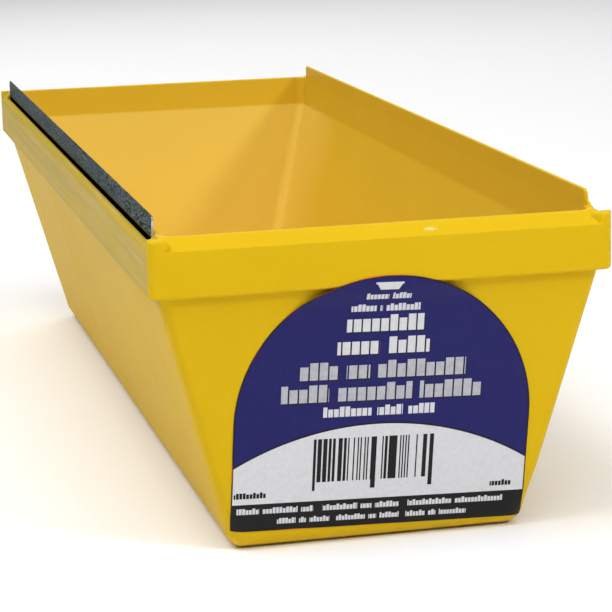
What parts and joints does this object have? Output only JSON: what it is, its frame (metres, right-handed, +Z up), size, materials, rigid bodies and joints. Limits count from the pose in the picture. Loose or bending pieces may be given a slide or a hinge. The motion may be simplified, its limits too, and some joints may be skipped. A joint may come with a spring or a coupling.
{
  "type": "mud pan",
  "caption": "Long tapered plastic tray for drywall compound, with an overhanging rim, a steel scraping blade along one side and a moulded lip along the other.",
  "frame": {"origin": "middle of the base, on the surface that the tray stands on", "axes": "+Z up; +Y along the tray, away from the labelled end; +X towards the moulded lip, so the steel blade is on the -X side"},
  "size_m": [0.119, 0.3222, 0.0886],
  "materials": {
    "tray_plastic": "yellow, satin gloss",
    "blade_steel": "dark blued steel, oiled",
    "label_film": "printed, semi-gloss"
  },
  "bodies": {
    "root": {"tray_body": "tray_plastic", "scraper_blade": "blade_steel", "label": "label_film"}
  },
  "joints": []
}
